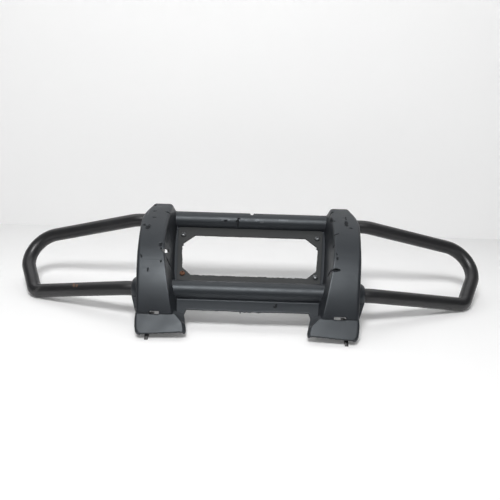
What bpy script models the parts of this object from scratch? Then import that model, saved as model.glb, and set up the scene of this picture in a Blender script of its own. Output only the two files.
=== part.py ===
"""Front bumper of an all-terrain vehicle, built in metres with +Z up.

A loop of one-inch steel tube carries two flat side plates and two short straps.
A moulded plastic cover hides the middle of the loop, and a grille panel with a
hand-cut window is screwed into the recess between the two bars of the cover.

Everything is laid out flat first. In that layout x runs across the bumper, z runs
from the lower tube to the upper tube and n is the distance in front of the two
tube centres. The empty "rest_lean" then lays the finished bumper on the floor on
its lower loop corners, its plate feet and its rear arms, as it was photographed.
"""
import math

import bmesh
import bpy
from mathutils import Matrix, Vector

MM = 0.001

# Fits
FIT = 0.3 * MM
CAVITY_SLACK = 1.8 * MM

# Steel loop
TUBE_R = 12.7 * MM
TUBE_WALL = 2.0 * MM
BORE_R = TUBE_R - TUBE_WALL
TUBE_SPACING = 165.5 * MM
LOWER_BEND = (215.5 * MM, 0.0, 0.0)
LOWER_CORNER = (406.4 * MM, -72.1 * MM, 40.1 * MM)
UPPER_CORNER = (465.8 * MM, -72.7 * MM, TUBE_SPACING)
UPPER_BEND = (222.7 * MM, 0.0, TUBE_SPACING)
LOWER_BEND_R = 60.0 * MM
LOWER_CORNER_R = 24.0 * MM
UPPER_CORNER_R = 50.0 * MM
UPPER_BEND_R = 75.0 * MM
SLEEVE_WALL = 2.0 * MM
SLEEVE_LENGTH = 60.0 * MM

# Lean of the bumper at rest
LEAN_DEG = -61.0

# Side plates
PLATE_X = 166.0 * MM
PLATE_T = 6.0 * MM
ARM_HOLE_R = 5.5 * MM
ARM_HOLES = ((-130.0 * MM, TUBE_SPACING + 3.5 * MM), (-84.0 * MM, TUBE_SPACING + 5.5 * MM))
FOOT_HOLE_R = 4.5 * MM

# Cover
WALL = 3.5 * MM
BACK_N = -3.0 * MM
BAR_R = 18.5 * MM
BAR_SHIFT = 1.5 * MM
BAR_END = 165.0 * MM
BAR_CAVITY_R = TUBE_R + CAVITY_SLACK
SEAT_R = TUBE_R + FIT
SEAT_WIDTH = 3.0 * MM
SEAT_X = (30.0 * MM, 95.0 * MM)
FRONT_N = 59.0 * MM
FRONT_FOOT_N = 13.6 * MM
FRONT_ARC_Z = (TUBE_SPACING - 5.5 * MM) / 2
UPRIGHT_FOOT_Z = -59.5 * MM
UPRIGHT_BROW_Z = TUBE_SPACING + 6.0 * MM
CROWN_H = 15.7 * MM
UPRIGHT_TOP_Z = UPRIGHT_BROW_Z + CROWN_H
SIDE_DRAFT = 5.0 * MM
OUTER_CORNER_R = 5.5 * MM
COLLAR_R = 21.0 * MM
COLLAR_X = 203.5 * MM
HOLLOW_REACH = COLLAR_X + 11.5 * MM

# Height of the upper tube in millimetres: what lies near it is measured from it
UP = TUBE_SPACING / MM

# Grille
PANEL_T = 3.0 * MM
PANEL_N = FIT
STRAP_T = 3.0 * MM
SCREW_HEIGHTS = {"upper": TUBE_SPACING - 37.9 * MM, "lower": 34.0 * MM}
SCREW_INSETS = {"upper": 12.8 * MM, "lower": 12.05 * MM}
SCREW_R = 3.0 * MM
SCREW_HOLE_R = SCREW_R + FIT
HEAD_R = 4.9 * MM
HEAD_H = 3.3 * MM
NUT_ACROSS = 10.0 * MM
NUT_H = 5.0 * MM
WASHER_R = 6.0 * MM
WASHER_T = 1.2 * MM

# Stations of the uprights, from the foot to the top, as (z, x) in millimetres
CREASE_LINE = ((-60, 126), (-45, 130.5), (-20, 136), (5, 141), (30, 146), (60, 149.3),
               (UP - 45.5, 150.5), (UP - 15.5, 150.5), (UP + 6.5, 152), (UP + 22.5, 155.5))
RECESS_LINE = ((-60, 113), (-20, 120), (20, 128.5), (42, 132.5), (UP - 60.5, 138.5),
               (UP - 24.5, 140), (UP + 24.5, 137))
OUTER_LINE = ((-60, 186.5), (-35, 188), (0, 191), (35, 194), (63, 195.5), (UP - 55.5, 198),
              (UP - 37.5, 197.5), (UP - 23.5, 194), (UP - 13.5, 189.5), (UP + 6.5, 184.5),
              (UP + 22.5, 179.5))

# Radius of the crease between the inner flank and the front, as (z, radius)
CREASE_ROUND = ((-60, 2.5), (20, 2.5), (60, 9), (UP - 65.5, 14), (UP, 14), (UP + 22.5, 7))

# Fall of the front above the brow, as (share of the crown's height, share of n at the brow)
CROWN_FALL = ((0.0, 1.0), (0.41, 0.751), (0.73, 0.455), (1.0, 0.0985))

# Window of the grille panel, right-hand half, as (x, z) in millimetres
WINDOW_TOP = (104.4, UP - 37.7)
WINDOW_SHOULDER = (126.9, UP - 60.8)
WINDOW_HIP = (121.0, 48.6)
WINDOW_BOTTOM = (104.1, 31.8)
LEDGE_MARGIN = 1.5 * MM


def place(x, n, z):
    """Point of the flat layout in the frame of the leaning empty."""
    return Vector((x, -n, z))


def clear_scene():
    for item in list(bpy.data.objects):
        bpy.data.objects.remove(item, do_unlink=True)
    for group in list(bpy.data.collections):
        bpy.data.collections.remove(group)


clear_scene()
bumper = bpy.data.collections.new("atv_front_bumper")
cutters = bpy.data.collections.new("cutters")
bpy.context.scene.collection.children.link(bumper)
bpy.context.scene.collection.children.link(cutters)


def material(name, colour, metallic, roughness):
    mat = bpy.data.materials.new(name)
    mat.use_nodes = True
    shader = mat.node_tree.nodes["Principled BSDF"]
    shader.inputs["Base Color"].default_value = (*colour, 1.0)
    shader.inputs["Metallic"].default_value = metallic
    shader.inputs["Roughness"].default_value = roughness
    mat.diffuse_color = (*colour, 1.0)
    return mat


def between(line, level):
    """Value at a level of a line of (level, value) points."""
    for (z0, v0), (z1, v1) in zip(line, line[1:]):
        if level <= z1:
            share = max(0.0, (level - z0) / (z1 - z0))
            return v0 + (v1 - v0) * share
    return line[-1][1]


def along(line, z):
    """Value of a station line at height z, both in metres."""
    return between(line, z / MM) * MM


def bend_path(points, radii, step_deg=11.0):
    """Centre line through straight runs with a circular bend at each inner point."""
    line = [Vector(points[0])]
    for before, corner, after, radius in zip(points, points[1:], points[2:], radii):
        corner = Vector(corner)
        way_in = (Vector(before) - corner).normalized()
        way_out = (Vector(after) - corner).normalized()
        half = way_in.angle(way_out) / 2
        middle = corner + (way_in + way_out).normalized() * radius / math.sin(half)
        first = corner + way_in * radius / math.tan(half) - middle
        last = corner + way_out * radius / math.tan(half) - middle
        turn = math.pi - 2 * half
        count = max(2, round(math.degrees(turn) / step_deg))
        for i in range(count + 1):
            line.append(middle + Matrix.Rotation(turn * i / count, 3, first.cross(last)) @ first)
    line.append(Vector(points[-1]))
    return line


def finish(obj, mat=None):
    """Shade smooth across gentle turns and keep real edges sharp."""
    if mat:
        obj.data.materials.clear()
        obj.data.materials.append(mat)
    obj.data.polygons.foreach_set("use_smooth", [True] * len(obj.data.polygons))
    obj.data.set_sharp_from_angle(angle=math.radians(32))
    return obj


def add_object(name, mesh, group, location=(0, 0, 0), rotation=(0, 0, 0)):
    obj = bpy.data.objects.new(name, mesh)
    obj.location = location
    obj.rotation_euler = rotation
    obj.parent = lean
    group.objects.link(obj)
    if group is cutters:
        obj.hide_render = True
        obj.display_type = "WIRE"
    return obj


def mesh_from_curve(name, curve):
    """Turn a curve into a welded mesh ready for Booleans."""
    holder = bpy.data.objects.new(name + "_curve", curve)
    cutters.objects.link(holder)
    bpy.context.view_layer.update()
    mesh = bpy.data.meshes.new_from_object(holder)
    bpy.data.objects.remove(holder, do_unlink=True)
    mesh.name = name
    bm = bmesh.new()
    bm.from_mesh(mesh)
    bmesh.ops.remove_doubles(bm, verts=bm.verts, dist=0.00001)
    bmesh.ops.recalc_face_normals(bm, faces=bm.faces)
    bm.to_mesh(mesh)
    bm.free()
    return mesh


def poly_spline(curve, points, cyclic):
    spline = curve.splines.new("POLY")
    spline.points.add(len(points) - 1)
    for target, point in zip(spline.points, points):
        target.co = (*point, 0.0, 1.0) if len(point) == 2 else (*point, 1.0)
    spline.use_cyclic_u = cyclic


def pipe(name, line, radius, group, rings=8):
    """Round bar swept along a centre line, closed at both ends."""
    curve = bpy.data.curves.new(name, "CURVE")
    curve.dimensions = "3D"
    curve.bevel_depth = radius
    curve.bevel_resolution = rings
    curve.use_fill_caps = True
    poly_spline(curve, line, False)
    return add_object(name, mesh_from_curve(name, curve), group)


def slab(name, outline, holes, thickness, group, location, rotation):
    """Flat plate cut from an outline with holes, thickness centred on the outline."""
    curve = bpy.data.curves.new(name, "CURVE")
    curve.dimensions = "2D"
    curve.fill_mode = "BOTH"
    curve.extrude = thickness / 2
    poly_spline(curve, outline, True)
    for hole in holes:
        poly_spline(curve, hole, True)
    return add_object(name, mesh_from_curve(name, curve), group, location, rotation)


def circle(u, v, radius, count=24):
    turn = 2 * math.pi / count
    return [(u + radius * math.cos(turn * i), v + radius * math.sin(turn * i))
            for i in range(count)]


def rounded(points, radii, count=4):
    """Closed outline with a fillet of its own radius at every corner."""
    outline = []
    total = len(points)
    for i, (u, v) in enumerate(points):
        corner = Vector((u, v))
        if radii[i] <= 0:
            outline.append((u, v))
            continue
        way_in = (Vector(points[i - 1]) - corner).normalized()
        way_out = (Vector(points[(i + 1) % total]) - corner).normalized()
        half = way_in.angle(way_out) / 2
        middle = corner + (way_in + way_out).normalized() * radii[i] / math.sin(half)
        first = corner + way_in * radii[i] / math.tan(half) - middle
        last = corner + way_out * radii[i] / math.tan(half) - middle
        turn = math.copysign(math.pi - 2 * half, first.cross(last))
        for k in range(count + 1):
            outline.append(tuple(middle + Matrix.Rotation(turn * k / count, 2) @ first))
    return outline


def turned(name, profile, steps, group, location, rotation):
    """Solid of revolution about local Z from (radius, height) pairs on a screw axis."""
    mesh = bpy.data.meshes.new(name)
    downward = [(r, 0, h) for r, h in reversed(profile)]
    mesh.from_pydata(downward, [(i, i + 1) for i in range(len(downward) - 1)], [])
    obj = add_object(name, mesh, group, location, rotation)
    screw = obj.modifiers.new("turn", "SCREW")
    screw.axis = "Z"
    screw.steps = steps
    screw.render_steps = steps
    screw.use_merge_vertices = True
    screw.merge_threshold = 0.00001
    return obj


def loft(name, sections, group):
    """Closed skin over rings of equal point count, with flat ends."""
    bm = bmesh.new()
    rings = [[bm.verts.new(point) for point in section] for section in sections]
    for low, high in zip(rings, rings[1:]):
        for i in range(len(low)):
            k = (i + 1) % len(low)
            bm.faces.new((low[i], low[k], high[k], high[i]))
    bm.faces.new(rings[0][::-1])
    bm.faces.new(rings[-1])
    bmesh.ops.recalc_face_normals(bm, faces=bm.faces)
    mesh = bpy.data.meshes.new(name)
    bm.to_mesh(mesh)
    bm.free()
    return add_object(name, mesh, group)


def mirrored(obj, name):
    """Left-hand twin of a right-hand tool."""
    mesh = obj.data.copy()
    mesh.transform(Matrix.Scale(-1, 4, (1, 0, 0)))
    mesh.flip_normals()
    return add_object(name, mesh, cutters)


def block(name, x0, x1, n0, n1, z0, z1):
    """Axis-aligned cutter between two values of each direction of the layout."""
    bm = bmesh.new()
    bmesh.ops.create_cube(bm, size=1.0)
    mesh = bpy.data.meshes.new(name)
    bm.to_mesh(mesh)
    bm.free()
    obj = add_object(name, mesh, cutters, place((x0 + x1) / 2, (n0 + n1) / 2, (z0 + z1) / 2))
    obj.scale = (x1 - x0, n1 - n0, z1 - z0)
    return obj


def combine(obj, tool, operation):
    step = obj.modifiers.new(tool.name, "BOOLEAN")
    step.operation = operation
    step.solver = "EXACT"
    step.object = tool


def both_hands(points):
    """Right-hand outline points followed by their mirror image, as one loop."""
    return list(points) + [(-u, v) for u, v in reversed(points)]


# The screws keep their distance from the flanks of the recess

SCREW_SPOTS = {level: (along(RECESS_LINE, z) - SCREW_INSETS[level], z) for level, z in SCREW_HEIGHTS.items()}

# The loop of tube and the height at which it rests

half_loop = bend_path(
    [(FIT / 2, 0, 0), place(*LOWER_BEND), place(*LOWER_CORNER), place(*UPPER_CORNER),
     place(*UPPER_BEND), place(FIT / 2, 0, TUBE_SPACING)],
    [LOWER_BEND_R, LOWER_CORNER_R, UPPER_CORNER_R, UPPER_BEND_R])
lean_turn = Matrix.Rotation(math.radians(LEAN_DEG), 3, "X")
floor_height = min((lean_turn @ point).z for point in half_loop) - TUBE_R
REST_SHIFT_Y = -69.75 * MM

lean = bpy.data.objects.new("rest_lean", None)
lean.rotation_euler = (math.radians(LEAN_DEG), 0, 0)
lean.location = (0, REST_SHIFT_Y, -floor_height)
bumper.objects.link(lean)


def floor_n(z):
    """Distance n at which the leaning layout meets the floor at height z."""
    return (floor_height - math.cos(math.radians(LEAN_DEG)) * z) / -math.sin(math.radians(LEAN_DEG))


black_paint = material("tube_black_paint", (0.022, 0.022, 0.024), 0.0, 0.42)
plate_paint = material("plate_black_paint", (0.020, 0.020, 0.021), 0.0, 0.5)
cover_plastic = material("cover_black_plastic", (0.045, 0.046, 0.050), 0.0, 0.55)
panel_plastic = material("panel_grey_plastic", (0.070, 0.073, 0.074), 0.0, 0.6)
bright_steel = material("screw_steel", (0.42, 0.42, 0.43), 1.0, 0.4)
rusty_steel = material("screw_rust", (0.26, 0.12, 0.06), 0.2, 0.85)

bore_line = [Vector((-MM, 0, 0))] + half_loop[1:-1] + [Vector((-MM, 0, TUBE_SPACING))]
for side, sign in (("right", 1), ("left", -1)):
    mirror = Matrix.Scale(sign, 4, (1, 0, 0))
    tube = pipe("frame_tube_" + side, [mirror @ p for p in half_loop], TUBE_R, bumper)
    bore = pipe("bore_" + side, [mirror @ p for p in bore_line], BORE_R, cutters)
    combine(tube, bore, "DIFFERENCE")
    finish(tube, black_paint)

for level, height in (("lower", 0.0), ("upper", TUBE_SPACING)):
    sleeve_r = BORE_R * math.cos(math.pi / 20) - FIT
    sleeve = slab(level + "_joint_sleeve", circle(0, 0, sleeve_r, 32),
                  [circle(0, 0, sleeve_r - SLEEVE_WALL, 32)], SLEEVE_LENGTH, bumper,
                  place(0, 0, height), (0, math.radians(90), 0))
    finish(sleeve, bright_steel)

# Side plates: tube holes, a foot that reaches the floor and an arm to the rear

FOOT_Z = -100.5 * MM
ARM_TIP_Z = TUBE_SPACING - 13.5 * MM
plate_corners = [(n * MM, z * MM) for n, z in (
    (floor_n(FOOT_Z) / MM, FOOT_Z / MM), (-4, -88), (-1.5, -57), (19, -14), (19, 14), (4, 45),
    (4, UP - 45.5), (18, UP - 13.5), (18, UP + 8.5), (0, UP + 17), (-14, UP + 20.5), (-110, UP + 20.5),
    (-146, UP + 12.5), (floor_n(ARM_TIP_Z) / MM, ARM_TIP_Z / MM), (-112, UP - 7.5), (-36, UP - 15.5),
    (-26, UP - 37.5), (-26, 40), (-20, 0), (-26, -50), (-16, -78))]
plate_radii = [0, 6, 14, 14, 14, 20, 20, 12, 10, 8, 10, 30, 12, 0, 30, 16, 14, 30, 30, 20, 8]
PLATE_HOLE_R = (TUBE_R + FIT) / math.cos(math.pi / 32)
plate_holes = [
    circle(0, 0, PLATE_HOLE_R, 32), circle(0, TUBE_SPACING, PLATE_HOLE_R, 32),
    circle(-13 * MM, -62 * MM, FOOT_HOLE_R, 20)]
plate_holes += [circle(n, z, ARM_HOLE_R, 20) for n, z in ARM_HOLES]


def to_plate(points):
    """Plate outlines lie in y and z, and y is minus n."""
    return [(-n, z) for n, z in points]


for side, sign in (("right", 1), ("left", -1)):
    plate = slab("side_plate_" + side, to_plate(rounded(plate_corners, [r * MM for r in plate_radii])),
                 [to_plate(hole) for hole in plate_holes], PLATE_T, bumper,
                 (sign * PLATE_X, 0, 0), (math.radians(90), 0, math.radians(90)))
    finish(plate, plate_paint)

# Straps between the tubes, behind the ledge of the cover

STRAP_N = BACK_N - FIT - STRAP_T / 2
STRAP_END = math.sqrt(TUBE_R ** 2 - (STRAP_N + STRAP_T / 2) ** 2) + FIT


def window_point(point, sign=1, out_x=0.0, out_z=0.0):
    """Corner of the window on either side, moved outwards where a wider one is wanted."""
    return (sign * (point[0] * MM + out_x), point[1] * MM + out_z)


shoulder = window_point(WINDOW_SHOULDER, 1, LEDGE_MARGIN, LEDGE_MARGIN / 2)
hip = window_point(WINDOW_HIP, 1, LEDGE_MARGIN, -LEDGE_MARGIN / 2)
top = window_point(WINDOW_TOP, 1, 0.0, 1.6 * LEDGE_MARGIN)
bottom = window_point(WINDOW_BOTTOM, 1, 0.0, -1.6 * LEDGE_MARGIN)
strap_corners = [
    (bottom[0], STRAP_END), bottom, hip, shoulder, top, (top[0], TUBE_SPACING - STRAP_END),
    (143 * MM, TUBE_SPACING - STRAP_END), (143 * MM, STRAP_END)]
for side, sign in (("right", 1), ("left", -1)):
    outline = [(sign * x, z) for x, z in rounded(strap_corners, [0, 4 * MM, 3 * MM, 3 * MM, 4 * MM, 0, 0, 0])]
    holes = [[(sign * x, z) for x, z in circle(*spot, SCREW_HOLE_R, 16)] for spot in SCREW_SPOTS.values()]
    strap = slab("grille_strap_" + side, outline, holes, STRAP_T, bumper,
                 (0, -STRAP_N, 0), (math.radians(90), 0, 0))
    finish(strap, plate_paint)

# Grille panel with its hand-cut window


def ragged(start, end, count, depth, phase):
    """Points along a sawn edge that wander a little to both sides."""
    (u0, v0), (u1, v1) = start, end
    length = math.hypot(u1 - u0, v1 - v0)
    points = []
    for i in range(count):
        t = i / count
        wander = depth * (math.sin(5.1 * i + phase) + 0.6 * math.sin(2.3 * i + 2 * phase)) if i else 0.0
        points.append((u0 + (u1 - u0) * t - (v1 - v0) / length * wander,
                       v0 + (v1 - v0) * t + (u1 - u0) / length * wander))
    return points


window_corners = [
    window_point(WINDOW_BOTTOM, -1), window_point(WINDOW_BOTTOM), window_point(WINDOW_HIP),
    window_point(WINDOW_SHOULDER), window_point(WINDOW_TOP), window_point(WINDOW_TOP, -1),
    window_point(WINDOW_SHOULDER, -1), window_point(WINDOW_HIP, -1)]
sawn_edges = [(30, 0.55, 0.4), (4, 0.15, 1.1), (6, 0.15, 2.0), (4, 0.15, 0.2),
              (14, 0.2, 1.7), (4, 0.15, 0.9), (12, 0.35, 2.6), (4, 0.15, 0.3)]
window = []
for i, (count, depth, phase) in enumerate(sawn_edges):
    window += ragged(window_corners[i - 8], window_corners[i - 7], count, depth * MM, phase)
panel_front_n = PANEL_N + PANEL_T
bar_edge = math.sqrt(BAR_R ** 2 - panel_front_n ** 2)
PANEL_LOW_Z = -BAR_SHIFT + bar_edge + 0.8 * MM
PANEL_HIGH_Z = TUBE_SPACING + BAR_SHIFT - bar_edge - 0.8 * MM
panel_corners = both_hands([
    (along(RECESS_LINE, z) - 0.8 * MM, z) for z in (PANEL_LOW_Z, PANEL_HIGH_Z)])
panel_screws = [circle(sign * x, z, SCREW_HOLE_R, 16) for x, z in SCREW_SPOTS.values() for sign in (1, -1)]
panel = slab("grille_panel", rounded(panel_corners, [5 * MM] * 4), [window] + panel_screws, PANEL_T, bumper,
             (0, -(PANEL_N + PANEL_T / 2), 0), (math.radians(90), 0, 0))
finish(panel, panel_plastic)

# Fasteners of the grille: socket screw in front, washer and nut behind the strap

STRAP_BACK_N = STRAP_N - STRAP_T / 2
head_seat_n = panel_front_n + FIT
washer_n = STRAP_BACK_N - FIT - WASHER_T / 2
nut_n = washer_n - WASHER_T / 2 - FIT - NUT_H / 2
shank_end = nut_n - NUT_H / 2 - 2 * MM - head_seat_n
screw_profile = [
    (0, shank_end), (SCREW_R - 0.6 * MM, shank_end), (SCREW_R, shank_end + 0.6 * MM), (SCREW_R, 0),
    (HEAD_R, 0), (HEAD_R, 0.9 * MM), (HEAD_R - 0.5 * MM, 2.1 * MM), (HEAD_R - 1.5 * MM, 2.9 * MM),
    (HEAD_R - 2.6 * MM, HEAD_H), (0, HEAD_H)]
hexagon = circle(0, 0, NUT_ACROSS / math.sqrt(3), 6)
for level, (x, z) in SCREW_SPOTS.items():
    for side, sign in (("right", 1), ("left", -1)):
        face_out = (math.radians(90), 0, 0)
        name = level + "_" + side
        screw = turned("grille_screw_" + name, screw_profile, 16, bumper,
                       place(sign * x, head_seat_n, z), face_out)
        socket = slab("socket_" + name, circle(0, 0, 2.3 * MM, 6), [], 4 * MM, cutters,
                      place(sign * x, head_seat_n + HEAD_H, z), face_out)
        combine(screw, socket, "DIFFERENCE")
        finish(screw, rusty_steel if name == "lower_left" else bright_steel)
        washer = slab("grille_washer_" + name, circle(0, 0, WASHER_R, 20), [circle(0, 0, SCREW_HOLE_R, 16)],
                      WASHER_T, bumper, place(sign * x, washer_n, z), face_out)
        finish(washer, bright_steel)
        nut = slab("grille_nut_" + name, hexagon, [circle(0, 0, SCREW_HOLE_R, 16)],
                   NUT_H, bumper, place(sign * x, nut_n, z), face_out)
        finish(nut, bright_steel)

# Moulded cover: outer forms are joined, then the hollow forms are taken out


front_rise = FRONT_N - FRONT_FOOT_N
front_arc_r = ((FRONT_ARC_Z - UPRIGHT_FOOT_Z) ** 2 + front_rise ** 2) / (2 * front_rise)


def front_line(z, inset):
    """Distance n of the bulging front at height z, moved inwards by inset."""
    brow = UPRIGHT_BROW_Z - inset
    reach = front_arc_r - inset
    front = FRONT_N - front_arc_r + math.sqrt(reach ** 2 - (min(z, brow) - FRONT_ARC_Z) ** 2)
    if z <= brow:
        return front
    return front * between(CROWN_FALL, (z - brow) / CROWN_H)


def upright_section(z, inset, back_n):
    """Ring of points round one upright at height z, open corners rounded."""
    front = front_line(z, inset)
    share = 1.0 if inset == 0 else 1.05
    inner_back = (along(RECESS_LINE, z) + inset * share, back_n)
    outer_back = (along(OUTER_LINE, z) + SIDE_DRAFT - inset * share, back_n)
    inner_front = (along(CREASE_LINE, z) + inset * share, front)
    outer_front = (along(OUTER_LINE, z) - inset * share, front)
    corners = [inner_back, inner_front, outer_front, outer_back]
    crease_r = max(along(CREASE_ROUND, z) - inset, 0.8 * MM)
    radii = [0, crease_r, max(OUTER_CORNER_R - inset, 1.5 * MM), 0]
    return [place(x, n, z) for x, n in rounded(corners, radii, 3 if inset else 5)]


def upright(name, inset, back_n, levels):
    return loft(name, [upright_section(z, inset, back_n) for z in levels], cutters)


CUT_N = -12.0 * MM
SIDE_STEPS = 12
low_side, high_side = -48 * MM, TUBE_SPACING - 45.5 * MM
side_levels = [low_side + (high_side - low_side) * i / SIDE_STEPS for i in range(SIDE_STEPS + 1)]
side_levels += [TUBE_SPACING - drop * MM for drop in (35.5, 24.5, 13.5, 3.5)]
brow_levels = [UPRIGHT_BROW_Z + share * CROWN_H for share, fall in CROWN_FALL]
outer_levels = [UPRIGHT_FOOT_Z] + side_levels + brow_levels
inner_levels = [UPRIGHT_FOOT_Z + WALL] + side_levels + [z - WALL for z in brow_levels]

FOOT_FACE = ((-96, 3.5), (-58, 6.8), (-50, 6.8))
FOOT_INNER = ((-96, 105), (-90, 101.5), (-84, 100.5), (-50, 107.5))
FOOT_CREASE = ((-96, 107), (-84, 106), (-73, 108.5), (-50, 129))
FOOT_TRIM = ((90 * MM, -88.6 * MM), (215 * MM, -97.8 * MM))
FOOT_OUTER = ((-96, 170), (-93, 177), (-88, 182), (-80, 185.5), (-68, 188), (-50, 188.5))


def foot_section(z, inset, back_n):
    """Ring round one foot: flared flank, flat face, rounded side."""
    face = along(FOOT_FACE, z) - inset
    inner = along(FOOT_INNER, z) + inset
    crease = max(along(FOOT_CREASE, z) + inset, inner + 1.5 * MM)
    outer = along(FOOT_OUTER, z) - inset
    flank = min(face - 0.2 * MM, 0.5 * MM - inset + max(0.0, 7.5 * MM - (crease - inner)))
    corners = [(inner, back_n), (inner, flank), (crease, face), (outer, face), (outer + 1.5 * MM, back_n)]
    radii = [0, 0, 0, max(4 * MM - inset, 1.2 * MM), 0]
    return [place(x, n, z) for x, n in rounded(corners, radii, 3)]


foot_levels = [z * MM for z in (-96, -93, -88, -84, -80, -73, -66, -58, -50)]
foot_hollow_levels = [-104 * MM] + foot_levels[:-1] + [foot_levels[-1] + 1.3 * MM]

COLLAR_PROFILE = [
    (0, 184 * MM), (COLLAR_R, 184 * MM), (COLLAR_R, 195.5 * MM), (COLLAR_R - 1.2 * MM, 198.5 * MM),
    (COLLAR_R - 4.0 * MM, 202 * MM), (SEAT_R + 1.2 * MM, COLLAR_X), (0, COLLAR_X)]


def hollow_profile(reach):
    """Stepped bore round a tube: roomy, with narrow seats that grip it."""
    half = [(BAR_CAVITY_R, 0.0)]
    for seat in SEAT_X:
        half += [(BAR_CAVITY_R, seat - SEAT_WIDTH / 2), (SEAT_R, seat - SEAT_WIDTH / 2),
                 (SEAT_R, seat + SEAT_WIDTH / 2), (BAR_CAVITY_R, seat + SEAT_WIDTH / 2)]
    half += [(BAR_CAVITY_R, 170 * MM), (SEAT_R, 170 * MM), (SEAT_R, reach), (0, reach)]
    return [(r, -h) for r, h in reversed(half[1:])] + half


sideways = (0, math.radians(90), 0)
bar_profile = [(0, -BAR_END), (BAR_R, -BAR_END), (BAR_R, BAR_END), (0, BAR_END)]
cover = turned("cover", bar_profile, 40, bumper, place(0, 0, -BAR_SHIFT), sideways)
joins = [turned("upper_bar_form", bar_profile, 40, cutters, place(0, 0, TUBE_SPACING + BAR_SHIFT), sideways)]
upright_right = upright("upright_right_form", 0.0, CUT_N, outer_levels)
joins += [upright_right, mirrored(upright_right, "upright_left_form")]
foot_right = loft("foot_right_form", [foot_section(z, 0.0, CUT_N) for z in foot_levels], cutters)
joins += [foot_right, mirrored(foot_right, "foot_left_form")]
fin_outline = [(186 * MM, -6 * MM), (COLLAR_X, -6 * MM), (COLLAR_X, -15 * MM), (191.5 * MM, -48 * MM),
               (184 * MM, -52 * MM)]
for side, sign in (("right", 1), ("left", -1)):
    joins.append(turned("collar_form_" + side, COLLAR_PROFILE, 32, cutters, (0, 0, 0),
                        (0, sign * math.radians(90), 0)))
    joins.append(slab("fin_form_" + side, [(sign * x, z) for x, z in fin_outline], [], 12 * MM, cutters,
                      (0, 3 * MM, 0), (math.radians(90), 0, 0)))
SKIRT_Z = -41.3 * MM
SKIRT_SIDE_X = 104.5 * MM
worn_skirt = [(-32, -41.4), (-21, -42.0), (-15, -41.7), (-13.4, -42.6), (-12.6, -45.8), (-11.7, -45.6),
              (-11.4, -42.2), (-8, -42.4), (-5, -43.3), (-1, -42.3), (4, -43.2), (9, -42.1), (15, -42.4),
              (19, -43.4), (25, -42.0), (40, -41.5)]
worn_skirt = [(x * MM, z * MM) for x, z in worn_skirt]
skirt_edge = ragged((-SKIRT_SIDE_X, SKIRT_Z), worn_skirt[0], 9, 0.2 * MM, 0.8) + worn_skirt
skirt_edge += ragged(worn_skirt[-1], (SKIRT_SIDE_X, SKIRT_Z), 10, 0.2 * MM, 2.1)[1:]
skirt_end = [(SKIRT_SIDE_X, SKIRT_Z), (107.5 * MM, -53 * MM), (126 * MM, -57 * MM), (126 * MM, -8 * MM)]
skirt = slab("skirt_form", skirt_edge + skirt_end + [(-x, z) for x, z in reversed(skirt_end[1:])],
             [], 10 * MM, cutters, (0, 4.5 * MM, 0), (math.radians(90), 0, 0))
ledge_outline = both_hands([(145 * MM, 8 * MM), (149 * MM, TUBE_SPACING - 9.5 * MM)])
ledge = slab("ledge_form", ledge_outline, [], 8 * MM, cutters, (0, 4 * MM, 0), (math.radians(90), 0, 0))
joins += [skirt, ledge]
for form in joins:
    combine(cover, form, "UNION")

upright_hollow = upright("upright_right_hollow", WALL, CUT_N - 10 * MM, inner_levels)
foot_hollow = loft("foot_right_hollow",
                   [foot_section(z, WALL, CUT_N - 10 * MM) for z in foot_hollow_levels], cutters)
lower_hollow = turned("lower_bar_hollow", hollow_profile(HOLLOW_REACH), 32, cutters, (0, 0, 0), sideways)
upper_hollow = turned("upper_bar_hollow", hollow_profile(HOLLOW_REACH), 32, cutters,
                      place(0, 0, TUBE_SPACING), sideways)
ledge_window = slab("ledge_window", both_hands([bottom, hip, shoulder, top]), [], 20 * MM, cutters,
                    (0, 0, 0), (math.radians(90), 0, 0))
FAR = 400 * MM
cuts = [block("back_plane", -FAR, FAR, -FAR, BACK_N, -FAR, FAR),
        upright_hollow, mirrored(upright_hollow, "upright_left_hollow"), foot_hollow,
        mirrored(foot_hollow, "foot_left_hollow"), lower_hollow, upper_hollow, ledge_window]
for side, sign in (("right", 1), ("left", -1)):
    slot_x = sorted((sign * 149 * MM, sign * 166.5 * MM))
    cuts.append(block("slot_" + side, *slot_x, 2.0 * MM, 12.6 * MM, -60.8 * MM, -50 * MM))
    trim = [(sign * x, z) for x, z in (*FOOT_TRIM, (FOOT_TRIM[1][0], -FAR), (FOOT_TRIM[0][0], -FAR))]
    cuts.append(slab("foot_trim_" + side, trim, [], 60 * MM, cutters, (0, 0, 0), (math.radians(90), 0, 0)))
for level, (x, z) in SCREW_SPOTS.items():
    for side, sign in (("right", 1), ("left", -1)):
        cuts.append(slab("screw_way_" + level + "_" + side, circle(sign * x, z, SCREW_HOLE_R, 16), [], 12 * MM,
                         cutters, (0, 0, 0), (math.radians(90), 0, 0)))

# Damage: a split beside the left crease that opens into a hole, a crack across the
# right one and a nick in the top of the upper bar. A blow came down at a slant, so
# each tear climbs and spreads a little as it goes deeper.
TEAR_FRONT_N = 66.0 * MM
TEAR_BACK_N = 18.0 * MM
TEAR_DRAWN_N = 56.0 * MM
TEAR_CLIMB = 0.84
TEAR_SPREAD = 0.19


def tear(name, outline):
    """Cutter whose outline, read in millimetres on the front face, drifts with depth."""
    sections = []
    for n in (TEAR_FRONT_N, TEAR_BACK_N):
        depth = TEAR_DRAWN_N - n
        sections.append([
            place(x * MM + math.copysign(TEAR_SPREAD, x) * depth, n, z * MM + TEAR_CLIMB * depth)
            for x, z in outline])
    return loft(name, sections, cutters)


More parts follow.
